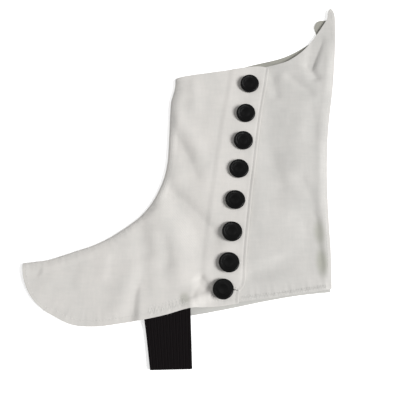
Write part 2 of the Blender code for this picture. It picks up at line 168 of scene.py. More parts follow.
MEDIAL_FOOT = [
    Section(-168.6, 57.9, 0.0, -1.7, 0.0, 0.0),
    Section(-173.8, 54.3, -27.0, -4.5, 0.0, 0.0),
    Section(-178.9, 50.5, -56.0, -9.3, 0.0, 0.0),
    Section(-184.5, 46.9, -88.0, -15.7, 0.0, 0.0),
    Section(-190.6, 43.0, -119.0, -21.0, 0.0, 0.0),
    Section(-203.2, 36.9, -140.0, -22.4, 0.0, 0.0),
    Section(-216.7, 32.3, -160.0, -23.9, 0.0, 0.0),
    Section(-229.4, 28.0, -178.0, -26.8, 0.0, 0.0),
    Section(-241.1, 24.2, -197.4, -29.0, 1.0, 0.0),
    Section(-251.3, 22.7, -217.0, -27.4, 3.2, 0.0),
    Section(-261.9, 21.2, -236.8, -18.3, 6.0, 0.0),
]

# Top edges, from the front to the rear.
FRONT_TOP = [
    (-133.5, 200.6), (-110.6, 204.7), (-86.0, 208.2), (-60.0, 212.4), (-49.5, 212.2), (-43.8, 209.7),
]
BACK_TOP = [
    (-76.0, 206.8), (-60.0, 210.2), (-37.2, 215.2), (-24.0, 220.0), (-11.0, 230.0), (-1.0, 241.4),
    (5.7, 250.6), (10.2, 257.2), (14.3, 263.6), (17.8, 269.2), (19.4, 275.0), (20.4, 280.4), (22.8, 282.0),
]
MEDIAL_TOP = [
    (-133.5, 202.0), (-110.6, 204.6), (-89.0, 208.6), (-72.3, 213.4), (-56.5, 217.8), (-30.6, 224.8),
    (-14.0, 232.8), (-4.0, 239.4), (3.2, 245.2), (6.6, 249.8), (7.2, 254.5), (7.5, 259.0), (7.8, 263.5),
    (9.2, 267.2), (12.6, 268.7), (16.8, 268.9), (20.2, 272.4), (22.6, 280.0),
]
TAB_LEAN = 2.6              # how far the inner side's rounded tab leans out over its top edge
TAB_MIDDLE = 261.0
TAB_SPAN = 7.0
TAB_REACH = (10.0, 22.0)    # it leans fully up to the first X, and not at all past the second

# A fold is a soft ridge (height above 0) or trough from start to end, bent sideways by its middle.
# Width is on its left as it runs, and lean is how much wider it is on its right.
Fold = namedtuple("Fold", "start_x start_y end_x end_y bend height width lean")
FOLD_ENDS = (0.25, 0.4)     # a fold runs on by the first share of its length, and fades over the second

FOLDS = [
    # Front of the leg.
    Fold(-139.0, 88.0, -99.5, 43.0, 1.0, -3.3, 8.0, 2.0),       # long fold down from the ankle
    Fold(-148.0, 76.0, -128.0, 12.0, 3.0, 1.9, 13.0, 1.0),
    Fold(-133.0, 140.0, -114.0, 98.0, 1.0, -1.5, 6.0, 1.8),
    Fold(-134.0, 162.0, -109.0, 120.0, 0.0, 1.2, 7.0, 1.0),
    Fold(-116.5, 199.0, -116.5, 166.0, 0.0, 0.9, 6.0, 1.0),
    # Foot.
    Fold(-163.0, 58.0, -155.0, 30.0, 0.0, -1.3, 6.5, 1.5),
    Fold(-142.5, 46.0, -139.0, 18.0, 1.5, -0.9, 5.5, 1.5),
    Fold(-190.5, 29.0, -193.0, 10.0, 0.0, 0.5, 4.5, 1.4),
    Fold(-151.0, 45.0, -147.0, -12.0, 0.0, 1.0, 9.0, 1.0),
    Fold(-166.0, 22.0, -179.5, -19.0, 0.0, 1.0, 8.0, 1.1),
    Fold(-216.5, 23.0, -220.0, 2.0, 0.0, -0.5, 5.0, 1.5),
    Fold(-259.0, 21.0, -247.0, 15.0, 0.0, -1.0, 3.5, 1.4),
    # Pull towards the last button.
    Fold(-111.5, 10.5, -102.5, -0.5, 0.0, -2.6, 4.0, 1.4),
    Fold(-99.5, 0.0, -119.5, -9.0, 1.5, 2.2, 5.0, 0.8),
    # Back of the leg.
    Fold(-58.0, 125.0, -60.0, 60.0, 0.0, 1.0, 9.0, 1.0),
    Fold(-46.0, 126.0, -38.0, 86.0, 1.0, -0.9, 7.0, 1.4),
    Fold(-41.0, 203.0, -38.0, 180.0, 0.0, -1.2, 5.0, 1.2),
    Fold(-25.0, 203.0, -4.0, 184.0, 0.0, -1.4, 5.0, 1.0),
    Fold(-19.0, 102.0, -10.0, 72.0, 0.0, -0.9, 5.5, 1.4),
    Fold(-6.0, 174.0, -4.5, 136.0, 0.0, -0.7, 5.5, 1.5),
    Fold(-70.0, 12.0, -28.0, 28.0, 0.0, -1.6, 6.0, 1.4),
    Fold(-11.5, 66.0, -10.0, 14.0, 0.0, -3.4, 7.0, 2.8),         # trough beside the back seam
    Fold(8.0, 246.0, -3.0, 214.0, 1.0, -3.2, 4.0, 2.2),         # fold at the foot of the peak
    Fold(-3.5, 216.0, 2.5, 200.0, -1.0, -2.0, 4.0, 1.4),
]

# Ridges of the outer side that run over the strap's end, towards the last button.
STRAP_FOLDS = [
    Fold(-118.0, -8.0, -116.0, -16.0, 0.0, 1.1, 7.0, 0.7),
    Fold(-112.0, -4.5, -124.0, -8.0, 0.0, 0.8, 4.5, 0.8),
]

# Soft creases of the inner side, which lift it a little off the table.
INNER_FOLDS = [
    Fold(-128.0, 88.0, -92.0, 52.0, 1.0, 0.8, 4.0, 1.6),
    Fold(-124.0, 172.0, -104.0, 128.0, 0.0, 0.6, 4.5, 1.3),
    Fold(-60.0, 196.0, -34.0, 148.0, 2.0, 0.7, 4.0, 1.5),
    Fold(-70.0, 120.0, -66.0, 74.0, -1.0, 0.5, 5.0, 1.2),
    Fold(-30.0, 112.0, -22.0, 62.0, 0.0, 0.7, 4.5, 1.4),
    Fold(-96.0, 34.0, -48.0, 20.0, 0.0, 0.8, 4.0, 1.5),
    Fold(-176.0, 34.0, -186.0, -8.0, 0.0, 0.6, 4.5, 1.2),
    Fold(-212.0, 20.0, -218.0, -10.0, 1.0, 0.5, 4.0, 1.4),
    Fold(-8.0, 236.0, 6.0, 206.0, 0.0, 0.5, 3.5, 1.5),
]

# Middle of each button, its tilt in degrees about the Y axis with the lift that this needs, how far
# its buttonhole lies towards the flap's edge, and how far it nods towards the hem, in degrees.
ButtonPlace = namedtuple("ButtonPlace", "x y tilt lift hole_shift nod")

BUTTONS = [
    ButtonPlace(-63.4, 192.6, 0.0, 0.0, 0.0, 8.0),
    ButtonPlace(-67.9, 161.8, 0.0, 0.0, 0.0, 8.0),
    ButtonPlace(-71.0, 134.2, 0.0, 0.0, 0.0, 5.0),
    ButtonPlace(-75.6, 106.8, 0.0, 0.0, 0.0, 1.0),
    ButtonPlace(-79.6, 77.6, 0.0, 0.0, 0.0, -3.0),
    ButtonPlace(-82.9, 49.2, 0.0, 0.0, 0.0, -2.0),
    ButtonPlace(-86.0, 22.4, 0.0, 0.0, 0.0, -6.0),
    ButtonPlace(-91.0, 0.0, -5.0, 0.9, 3.4, -9.0),
]

# Turned profile of a button: radius and height above its underside, from the face's middle down.
BUTTON_PROFILE = [
    (0.4, 2.95), (1.2, 2.92), (2.2, 2.82), (3.2, 2.64), (4.0, 2.5), (4.5, 2.5), (4.9, 2.66), (5.3, 2.76),
    (5.7, 2.76), (6.2, 2.82), (6.7, 2.98), (7.2, 3.14), (7.6, 3.2), (8.0, 3.12), (8.35, 2.86), (8.65, 2.5),
    (8.8, 2.05), (8.75, 1.6), (8.5, 1.1), (7.9, 0.6), (6.8, 0.2), (5.0, 0.0), (2.6, -0.1), (1.9, -0.4),
]
BUTTON_TOP = 3.2
BUTTON_FACE_POINTS = 13     # how many of the profile's points lie on the face, up to the rim's crest
BUTTON_SHARP_ANGLE = 60.0
BUTTON_NOD_LIFT = 0.05      # how much a nodding button rises for each degree
BUTTON_LIFT_SHARES = (0.8, 0.2)     # shares of a tilted button's lift that lower its seat and raise its foot
SHANK_CLEARANCE = 0.1
BUTTON_STEPS = 144
MILLING = (36, 0.11, 6.4, 0.9)      # beads round the rim: how many, height, radius of the ring, width

# The strap's loop seen from the side: how far along the leg, and the height of its middle line.
STRAP_PATH = [
    (-6.0, 2.15), (-16.0, 2.15), (-26.5, 2.15), (-31.0, 1.2), (-35.0, 0.65), (-48.0, 0.65),
    (-60.2, 0.65), (-61.9, 1.2), (-61.9, 2.2), (-60.2, 2.75), (-48.0, 2.25), (-35.0, 2.25),
    (-31.0, 2.8), (-26.5, 3.75), (-16.0, 3.75), (-6.0, 3.75),
]
STRAP_TOP = (-159.4, -118.9, -6.0)      # left edge, right edge and height of the sewn ends
STRAP_APRON = (11.0, 24.0)  # the outer side comes down over this much beside the strap and above it
STRAP_EASING = (3.4, 0.35)  # how far it comes down there, and how softly
STRAP_BOTTOM = (-150.9, -117.0, -62.0)
STRAP_SLANT = 0.8           # how much lower the fold's left end lies than its right one
STRAP_RIBS = 22
RIB_STEPS = 6
RIB_HEIGHT = 0.09

# Sewing threads: radius, length of a running stitch and how far apart they start.
THREAD_RADIUS = 0.21
THREAD_SIDES = 6
THREAD_STATIONS = 5
THREAD_ARCH = (1.3, 0.9)    # how high a stitch arches over its ends and how deep they dive, in radii
STITCH_LENGTH = 2.1
STITCH_PITCH = 2.7
FLAP_STITCH_INSET = 2.4
HEM_STITCH_INSET = 4.6
SEAM_STITCH_INSET = 3.0
RELIEF_WIDTHS = (1.4, 0.8, 6.0)     # of a sewn edge's step, of its thread's groove and of its puckers
PUCKER_WAVES = (7.3, 4.9)   # lengths of the two waves that the puckers follow
PUCKER_MIX = (0.7, 1.3)     # share and phase of the second of them
DEEPEST_GROOVE = 0.3
OVERCAST = (0.9, 4.8, 2.3)  # zigzag over the back hem: its lower and upper insets, and its pitch
OVERCAST_ENDS = (1.0, 4.0)  # it starts this far past the flap, and stops this far before the heel
BACK_ROW_END = -3           # the back seam's row of stitches leaves out its last points, by the hem
STRAP_TACK = (-154.0, -122.5)       # the strap's end is sewn through the hem between these
TACK_ZIGZAG = (1.6, 8.2, 3.0)       # the tack's zigzag: its lower and upper insets, and its pitch
TACK_MIDDLE = 5.0           # inset of the line along which its width is taken
TACK_ROW = (9.4, 2.0)       # inset of the row above the zigzag, and the spacing of its points
NEAR_HEM_FADE = (6.0, 26.0)    # the inner side's painted shade gives way to a lighter tone between these heights, towards the hem
BUTTONHOLE_BITE = 2.0       # how far the buttonhole's stitches reach into the cloth
BUTTONHOLE_PITCH = 1.1
BUTTONHOLE_LIP = 0.3        # the stitches round its ends start this far out
BUTTONHOLE_FAN = (-50.0, -17.0, 17.0, 50.0)     # their directions, in degrees
GAPE = (0.5, 9.0, 0.35)     # room beside the shank, how far along it closes, and the half gap left there

# The camera, standing over the foot of the leg and looking down a little towards its top.
CAMERA_TARGET = (-110.6, 79.9)
CAMERA_DISTANCE = 400.0
CAMERA_TILT = 16.0
CAMERA_LENS = 40.0
CAMERA_SENSOR = 36.0

# The table, in metres: its side, and how far below the spat it lies.
TABLE_SIZE = 60.0
TABLE_GAP = 0.0002

# Colours, as linear red, green and blue. Each cotton has a light and a dark tone.
FACE_COTTON = ((0.767, 0.740, 0.706), (0.702, 0.685, 0.655))
# The back panel's cotton is the front's made darker: painted shade, as the back panel lies tilted away from
# the key light.
REAR_COTTON_SHADED = ((0.672, 0.655, 0.628), (0.608, 0.598, 0.574))
# The inner side's two tones are painted shade for the inside of the spat; the next colour is the lighter
# tone it fades to near the hem.
INNER_COTTON_SHADED = ((0.41, 0.402, 0.355), (0.363, 0.357, 0.318))
INNER_NEAR_HEM = (0.595, 0.59, 0.565)
THREAD_WHITE = (0.80, 0.79, 0.76)
THREAD_SHADED = (0.50, 0.49, 0.45)
# Colour of the painted shade in creases, mixed in at the spots below.
CREASE_SHADE = (0.43, 0.435, 0.37)

# Oval spots of painted shade, darkening the cloth in creases: middle, half sizes and strength.
Spot = namedtuple("Spot", "x y half_width half_height strength")

# Painted shade in the trough beside the back seam.
REAR_SHADE_SPOTS = [
    Spot(-6.2, 49.5, 7.0, 15.5, 0.6),
    Spot(-6.0, 23.5, 7.2, 17.0, 0.72),
]
# Painted shade in the crease of the pull towards the last button, just above the strap.
FRONT_SHADE_SPOTS = [
    Spot(-123.5, -7.5, 6.0, 7.5, 0.5),
]
SPOT_CORE = 0.2             # a spot has its full strength within this share of its size

# A Mix node's colour sockets share their names with its other ones, so they are taken by number.
MIX_FIRST_COLOUR = 6
MIX_SECOND_COLOUR = 7
MIX_COLOUR_RESULT = 2


# ---------------------------------------------------------------- geometry helpers

def smooth(points, steps):
    """Points of a Catmull-Rom curve through the given ones, with `steps` spans between each two."""
    known = np.asarray(points, dtype=float)
    known = np.vstack([2 * known[0] - known[1], known, 2 * known[-1] - known[-2]])
    curve = []
    for a, b, c, d in zip(known, known[1:], known[2:], known[3:]):
        for step in range(steps):
            t = step / steps
            curve.append(b + 0.5 * t * (c - a + t * (2 * a - 5 * b + 4 * c - d
                                                      + t * (3 * (b - c) + d - a))))
    curve.append(known[-2])
    return np.array(curve)


def lengths_along(curve):
    """Distance along a polyline at each of its points."""
    return np.concatenate([[0.0], np.cumsum(np.linalg.norm(np.diff(curve, axis=0), axis=1))])


def at_shares(curve, shares):
    """Points at the given shares of a polyline's length."""
    along = lengths_along(curve)
    return np.column_stack([np.interp(shares, along / along[-1], curve[:, k]) for k in range(2)])


def nearest(points, curve):
    """Distance from each point to a polyline, and how far along it that is."""
    starts = curve[:-1]
    runs = curve[1:] - starts
    best = np.full(len(points), np.inf)
    where = np.zeros(len(points))
    along = lengths_along(curve)
    for start, run, behind in zip(starts, runs, along):
        length = np.linalg.norm(run)
        share = np.clip((points - start) @ run / length ** 2, 0.0, 1.0)
        away = np.linalg.norm(points - start - share[:, None] * run, axis=1)
        closer = away < best
        best[closer] = away[closer]
        where[closer] = (behind + share * length)[closer]
    return best, where


def ease(x):
    """Smooth step from 0 to 1."""
    x = np.clip(x, 0.0, 1.0)
    return x * x * (3.0 - 2.0 * x)


def side(sections, which, steps=5):
    """One edge of a panel as a smooth curve; which is front or rear."""
    points = [(getattr(s, which + "_x"), getattr(s, which + "_y")) for s in sections]
    return smooth(points, steps)


INSTEP = side(FRONT_LEG + FRONT_FOOT[1:], "front")
BACK_SEAM = side(BACK, "rear")
FLAP_EDGE = side(FRONT_LEG, "rear")
FRONT_HEM = side(FRONT_FOOT, "rear")
HEM = np.vstack([FRONT_HEM[::-1], [(0.6, 0.8)]])
BACK_HEM = np.array([(-106.5, -12.8), (-80.0, -10.0), (-53.0, -6.8), (-26.0, -3.3), (0.6, 0.8)])
BACK_HEM_FINE = smooth(BACK_HEM, HEM_STEPS)
INNER_INSTEP = side(MEDIAL_LEG + MEDIAL_FOOT[1:], "front")
INNER_SEAM = side(MEDIAL_LEG, "rear")
INNER_HEM = side(MEDIAL_FOOT, "rear")


def flap_edge_x(y):
    """X of the buttonhole flap's edge at a height on the leg."""
    order = np.argsort(FLAP_EDGE[:, 1])
    return np.interp(y, FLAP_EDGE[order, 1], FLAP_EDGE[order, 0])


# ---------------------------------------------------------------- heights of the cloth

def fold_height(points, folds):
    """Sum of some folds at each point."""
    past, fading = FOLD_ENDS
    height = np.zeros(len(points))
    for fold in folds:
        start = np.array([fold.start_x, fold.start_y])
        run = np.array([fold.end_x, fold.end_y]) - start
        length = np.linalg.norm(run)
        left = np.array([-run[1], run[0]]) / length
        along = (points - start) @ run / length ** 2
        across = (points - start) @ left - fold.bend * 4 * along * (1 - along)
        width = np.where(across > 0, fold.width, fold.width * fold.lean)
        fade = ease((along + past) / fading) * ease((1.0 + past - along) / fading)
        height += fold.height * fade * np.exp(-(across / width) ** 2)
    return height


def slack(points, size, seed):
    """Soft random unevenness of the cloth, between about -1 and 1."""
    return np.array([noise.noise(Vector((x / size, y / size, seed))) for x, y in points])


def outer_side_height(points):
    """Underside of the outer side's lower layer, from the crown, the strap beneath it and the folds."""
    to_instep, _ = nearest(points, INSTEP)
    to_seam, _ = nearest(points, BACK_SEAM)
    to_hem, _ = nearest(points, HEM)
    edge = np.minimum(to_instep, to_seam)
    roll = np.clip(to_instep / INSTEP_ROLL, 0.0, 1.0)
    slope = np.clip(to_seam / BACK_ROLL, 0.0, 1.0)
    beside_seam = BACK_SHARE * slope * (2.0 - slope) + (1.0 - BACK_SHARE) * ease(to_seam / BACK_RISE)
    crown = CROWN * np.sqrt(roll * (2.0 - roll)) * beside_seam - SAG * ease(edge / SAG_REACH)
    ridge, inset, spread = TURNINGS
    crown += ridge * np.exp(-((to_seam - inset) / spread) ** 2) * slope * roll
    toe, toe_run = TOE_RUN
    crown -= TOE_FALL * ease((toe - points[:, 0]) / toe_run) * roll
    peak, peak_run = PEAK_RUN
    crown *= 1.0 - PEAK_FALL * ease((points[:, 1] - peak) / peak_run)
    crown *= HEM_SHARE + (1.0 - HEM_SHARE) * ease(to_hem / HEM_FALL)
    uneven = sum(height * slack(points, size, seed) for height, size, seed in SLACK)
    lying = CLOTH + GAP + crown + (fold_height(points, FOLDS) + uneven) * ease(edge / STIFF_EDGE)
    gap, softness = RESTING
    floor = CLOTH + gap
    lying = floor + softness * np.logaddexp(0.0, (lying - floor) / softness)
    return over_strap(points, lying) + fold_height(points, STRAP_FOLDS)


def over_strap(points, lying):
    """Raise the outer side's height where it passes over the strap's sewn ends and beside them."""
    left, right, end = STRAP_TOP
    beside = np.maximum.reduce([left - points[:, 0], points[:, 0] - right, 0 * lying])
    above = np.maximum(points[:, 1] - end, 0.0)
    outside = np.hypot(beside / STRAP_APRON[0], above / STRAP_APRON[1])
    drop, softness = STRAP_EASING
    raised = CLOTH + 4 * GAP + 2 * ELASTIC - drop * ease(outside)
    return lying + softness * np.logaddexp(0.0, (raised - lying) / softness)


def sewn_edge(points, edge, inset, rise, groove, pucker):
    """Relief of a turned and stitched edge: a raised band, a groove under the thread and puckers."""
    step, groove_width, pucker_width = RELIEF_WIDTHS
    first_wave, second_wave = PUCKER_WAVES
    share, phase = PUCKER_MIX
    away, along = nearest(points, edge)
    band = rise * (1.0 - ease((away - inset + step / 2) / step))
    sunk = groove * np.exp(-((away - inset) / groove_width) ** 2)
    wave = np.sin(2 * math.pi * along / first_wave)
    wave += share * np.sin(2 * math.pi * along / second_wave + phase)
    swell = pucker * wave * np.exp(-((away - inset) / pucker_width) ** 2)
    return band - sunk + swell


def flap_height(points):
    """Underside of the front panel, which climbs onto the back panel's underlap."""
    past_underlap = points[:, 0] - (flap_edge_x(points[:, 1]) - UNDERLAP)
    slow, run, step = CLIMB
    run_end, step_end = CLIMB_ENDS
    climb = slow * ease((past_underlap + run + run_end) / run)
    climb += (1.0 - slow) * ease((past_underlap + step + step_end) / step)
    climb *= CLOTH + FLAP_GAP
    return outer_side_height(points) + climb


def front_height(points):
    """The front panel with its stitched edges."""
    relief = sewn_edge(points, FLAP_EDGE, FLAP_STITCH_INSET, rise=0.3, groove=0.35, pucker=0.03)
    relief += sewn_edge(points, FRONT_HEM, HEM_STITCH_INSET, rise=0.15, groove=0.12, pucker=0.05)
    relief += sewn_edge(points, INSTEP, SEAM_STITCH_INSET, rise=0.0, groove=0.12, pucker=0.05)
    return flap_height(points) + np.maximum(relief, -DEEPEST_GROOVE)


def back_height(points):
    """The back panel with its stitched hem, level under the flap."""
    past_flap = ease((points[:, 0] - flap_edge_x(points[:, 1])) / FLAP_FADE)
    relief = sewn_edge(points, BACK_HEM, HEM_STITCH_INSET, rise=0.15, groove=0.15, pucker=0.08)
    return outer_side_height(points) + relief * past_flap


def inner_height(points):
    """Underside of the inner side: flat on the table, but for creases where the outer side leaves room."""
    to_instep, _ = nearest(points, INSTEP)
    to_seam, _ = nearest(points, BACK_SEAM)
    to_hem, _ = nearest(points, HEM)
    rim, run = INNER_RIM
    inner = ease((np.minimum(np.minimum(to_instep, to_seam), to_hem) - rim) / run)
    room = outer_side_height(points) - CLOTH - GAP
    return np.clip(fold_height(points, INNER_FOLDS), 0.0, np.maximum(room, 0.0)) * inner


# ---------------------------------------------------------------- panels

def section_rows(sections, top_edge, shares, steps):
    """Rows of points across a panel, one for each smoothed section."""
    straight_top = None
    rows = []
    for front_x, front_y, rear_x, rear_y, bow, top_share in smooth(sections, steps):
        front = np.array([front_x, front_y])
        run = np.array([rear_x, rear_y]) - front
        normal = np.array([run[1], -run[0]]) / np.linalg.norm(run)
        row = front + shares[:, None] * run + bow * (4 * shares * (1 - shares))[:, None] * normal
        if top_edge is not None:
            if straight_top is None:
                straight_top = row
            row = row + top_share * (at_shares(smooth(top_edge, TOP_STEPS), shares) - straight_top)
        rows.append(row)
    return rows


def world(x, y, z):
    """A point of the tables in the frame, in metres."""
    return ((x - FOOTPRINT_MIDDLE[0]) * MM, (y - FOOTPRINT_MIDDLE[1]) * MM, z * MM)


def link(obj):
    """Add an object to the scene."""
    bpy.context.scene.collection.objects.link(obj)
    return obj


def mesh_from(name, points, faces, material):
    """A smooth mesh of one material."""
    mesh = bpy.data.meshes.new(name)
    mesh.from_pydata(points, [], faces)
    mesh.materials.append(material)
    mesh.shade_smooth()
    return mesh


def grid_object(name, rows, heights, material, keep_face=None):
    """A sheet of quads through rows of points, each as long as the others."""
    columns = len(rows[0])
    flat = np.vstack(rows)
    points = [world(x, y, z) for (x, y), z in zip(flat, heights)]
    faces = []
    for r in range(len(rows) - 1):
        for c in range(columns - 1):
            corner = r * columns + c
            if keep_face is None or keep_face(0.5 * (flat[corner] + flat[corner + columns + 1])):
                faces.append((corner, corner + columns, corner + columns + 1, corner + 1))
    return link(bpy.data.objects.new(name, mesh_from(name, points, faces, material)))


def thicken(sheet, thickness, offset):
    """Give an open sheet its thickness and rounded edges."""
    solidify = sheet.modifiers.new("thickness", "SOLIDIFY")
    solidify.thickness = thickness * MM
    solidify.offset = offset
    solidify.use_even_offset = True
    bevel = sheet.modifiers.new("rounding", "BEVEL")
    bevel.width = EDGE_ROUNDING * MM
    bevel.segments = 2
    bevel.limit_method = "ANGLE"
    bevel.angle_limit = math.radians(ROUNDING_ANGLE)
    bevel.harden_normals = False


def in_buttonhole(point):
    """Whether a point of the flap lies in one of the buttonholes, which gape around the shanks."""
    for place in BUTTONS:
        dx = abs(point[0] - place.x - place.hole_shift)
        if dx < BUTTONHOLE_LENGTH / 2 and abs(point[1] - place.y) < gape_at(point[0], place):
            return True
    return False


def make_front_panel(material):
    """Outer vamp and front leg, with the buttonhole flap along its rear edge."""
    shares = np.linspace(0.0, 1.0, FRONT_COLUMNS)
    leg = section_rows(FRONT_LEG, FRONT_TOP, shares, ROW_STEPS)
    foot = section_rows(FRONT_FOOT, None, shares, ROW_STEPS)
    rows = leg + foot[1:]
    panel = grid_object("front_cloth", rows, front_height(np.vstack(rows)), material,
                        lambda p: not in_buttonhole(p))
    thicken(panel, CLOTH, 1.0)
    return panel


def make_back_panel(material):
    """Outer quarter with its underlap, up to the peak at the back of the leg."""
    shares = np.linspace(0.0, 1.0, BACK_COLUMNS)
    rows = section_rows(BACK, BACK_TOP, shares, ROW_STEPS)
    panel = grid_object("back_cloth", rows, back_height(np.vstack(rows)), material)
    thicken(panel, CLOTH, 1.0)
    return panel


def lean_tab(row):
    """Move a row of the inner side where it crosses the rounded tab below the peak."""
    start, end = TAB_REACH
    lean = TAB_LEAN * np.exp(-((row[:, 1] - TAB_MIDDLE) / TAB_SPAN) ** 2)
    lean *= ease((end - row[:, 0]) / (end - start))
    return row - np.column_stack([lean, np.zeros(len(row))])


def make_medial_panel(material):
    """Inner side of the spat, flat on the table."""
    coarse, fine = MEDIAL_COLUMNS
    front_shares = np.linspace(0.0, MEDIAL_SPLIT, coarse)
    rear_shares = np.linspace(MEDIAL_SPLIT, 1.0, fine)
    shares = np.concatenate([front_shares[:-1], rear_shares])
    leg = section_rows(MEDIAL_LEG, MEDIAL_TOP, shares, MEDIAL_ROW_STEPS)
    foot = section_rows(MEDIAL_FOOT, None, shares, MEDIAL_ROW_STEPS)
    rows = [lean_tab(row) for row in leg] + foot[1:]
    panel = grid_object("medial_cloth", rows, inner_height(np.vstack(rows)), material)
    thicken(panel, CLOTH, 1.0)
    return panel


# ---------------------------------------------------------------- strap, buttons and thread

def make_foot_strap(material):
    """Loop of ribbed elastic: one end on the inner side, one under the outer side."""
    path = smooth(STRAP_PATH, STRAP_STEPS)
    direction = np.gradient(path, axis=0)
    direction /= np.linalg.norm(direction, axis=1)[:, None]
    shares = np.linspace(0.0, 1.0, STRAP_RIBS * RIB_STEPS + 1)
    ribs = RIB_HEIGHT * np.cos(2 * math.pi * STRAP_RIBS * shares)
    span = STRAP_TOP[2] - STRAP_BOTTOM[2]
    rows = []
    heights = []
    for (y, z), (run_y, run_z) in zip(path, direction):
        down = (STRAP_TOP[2] - y) / span
        left = STRAP_TOP[0] + down * (STRAP_BOTTOM[0] - STRAP_TOP[0])
        right = STRAP_TOP[1] + down * (STRAP_BOTTOM[1] - STRAP_TOP[1])
        slant = STRAP_SLANT * down * (shares - 1.0)
        rows.append(np.column_stack([left + shares * (right - left), y + slant - run_z * ribs]))
        heights.append(z + run_y * ribs)
    strap = grid_object("elastic_loop", rows, np.concatenate(heights), material)
    thicken(strap, ELASTIC, 0.0)
    return strap


def button_mesh(foot, material):
    """A dished button with a beaded rim on a shank that reaches down to foot, closed all round."""
    middle = BUTTON_PROFILE[0][0]
    outline = np.array(BUTTON_PROFILE + [(SHANK_RADIUS, foot), (middle, foot)])
    beads, bead_height, ring, spread = MILLING
    turns = np.linspace(0.0, 2 * math.pi, BUTTON_STEPS, endpoint=False)
    on_face = np.arange(len(outline)) < BUTTON_FACE_POINTS
    points = []
    for (radius, height), raised in zip(outline, on_face):
        bead = bead_height * math.exp(-((radius - ring) / spread) ** 2) * raised
        for turn in turns:
            z = height + bead * math.cos(beads * turn)
            points.append((radius * math.cos(turn) * MM, radius * math.sin(turn) * MM, z * MM))
    faces = [tuple(range(BUTTON_STEPS))]
    for level in range(len(outline) - 1):
        for k in range(BUTTON_STEPS):
            here = level * BUTTON_STEPS + k
            beside = level * BUTTON_STEPS + (k + 1) % BUTTON_STEPS
            faces.append((here, here + BUTTON_STEPS, beside + BUTTON_STEPS, beside))
    faces.append(tuple(reversed(range(len(points) - BUTTON_STEPS, len(points)))))
    mesh = mesh_from("button", points, faces, material)
    mesh.set_sharp_from_angle(angle=math.radians(BUTTON_SHARP_ANGLE))
    return mesh


def make_button(number, place, material):
    """One button where its CAD node is, nodding as its thread lets it."""
    low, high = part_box("button_%d" % number)
    above, below = BUTTON_LIFT_SHARES
    seat = high.z / MM - BUTTON_TOP - place.lift * above + abs(place.nod) * BUTTON_NOD_LIFT
    mesh = button_mesh(low.z / MM - seat + place.lift * below + SHANK_CLEARANCE, material)
    button = link(bpy.data.objects.new("button_face_%d" % number, mesh))
    button.location = ((low.x + high.x) / 2, (low.y + high.y) / 2, seat * MM)
    button.rotation_euler = (math.radians(place.nod), math.radians(place.tilt), 0.0)
    return button


def inset_curve(curve, distance):
    """A polyline moved to the left of its run, or to the right for a distance below zero."""
    run = np.gradient(curve, axis=0)
    run /= np.linalg.norm(run, axis=1)[:, None]
    return curve + distance * np.column_stack([-run[:, 1], run[:, 0]])


def point_at(curve, distances):
    """Points of a polyline at distances along it."""
    along = lengths_along(curve)
    return np.column_stack([np.interp(distances, along, curve[:, k]) for k in range(2)])


def running_stitches(curve):
    """Starts and ends of a row of running stitches along a polyline."""
    length = lengths_along(curve)[-1]
    starts = np.arange(STITCH_PITCH / 2, length - STITCH_PITCH, STITCH_PITCH)
    return point_at(curve, starts), point_at(curve, starts + STITCH_LENGTH)


def zigzag_stitches(low_curve, high_curve, start, end, pitch):
    """Starts and ends of a zigzag between two polylines, over a stretch of their length."""
    turns = np.arange(start, end, pitch / 2)
    low = point_at(low_curve, turns)
    high = point_at(high_curve, turns)
    corners = np.where((np.arange(len(turns)) % 2 == 0)[:, None], low, high)
    return corners[:-1], corners[1:]


def gape_at(x, place):
    """Half the opening of a buttonhole at an X, which its shank holds open."""
    room, reach, rest = GAPE
    from_shank = np.abs(np.asarray(x) - place.x)
    return (SHANK_RADIUS + room) * (1.0 - ease(from_shank / reach)) + rest


def buttonhole_stitches(place):
    """Starts and ends of the close stitches along both lips of a buttonhole and round its ends."""
    middle = place.x + place.hole_shift
    half = BUTTONHOLE_LENGTH / 2
    starts = []
    ends = []
    for x in np.arange(middle - half, middle + half + 0.01, BUTTONHOLE_PITCH):
        gape = float(gape_at(x, place))
        for way in (-1.0, 1.0):
            starts.append((x, place.y + way * gape))
            ends.append((x, place.y + way * (gape + BUTTONHOLE_BITE)))
    for way in (-1.0, 1.0):
        corner = np.array([middle + way * half, place.y])
        for turn in np.radians(BUTTONHOLE_FAN):
            out = np.array([way * math.cos(turn), math.sin(turn)])
            starts.append(corner + BUTTONHOLE_LIP * out)
            ends.append(corner + (BUTTONHOLE_LIP + BUTTONHOLE_BITE) * out)
    return np.array(starts), np.array(ends)


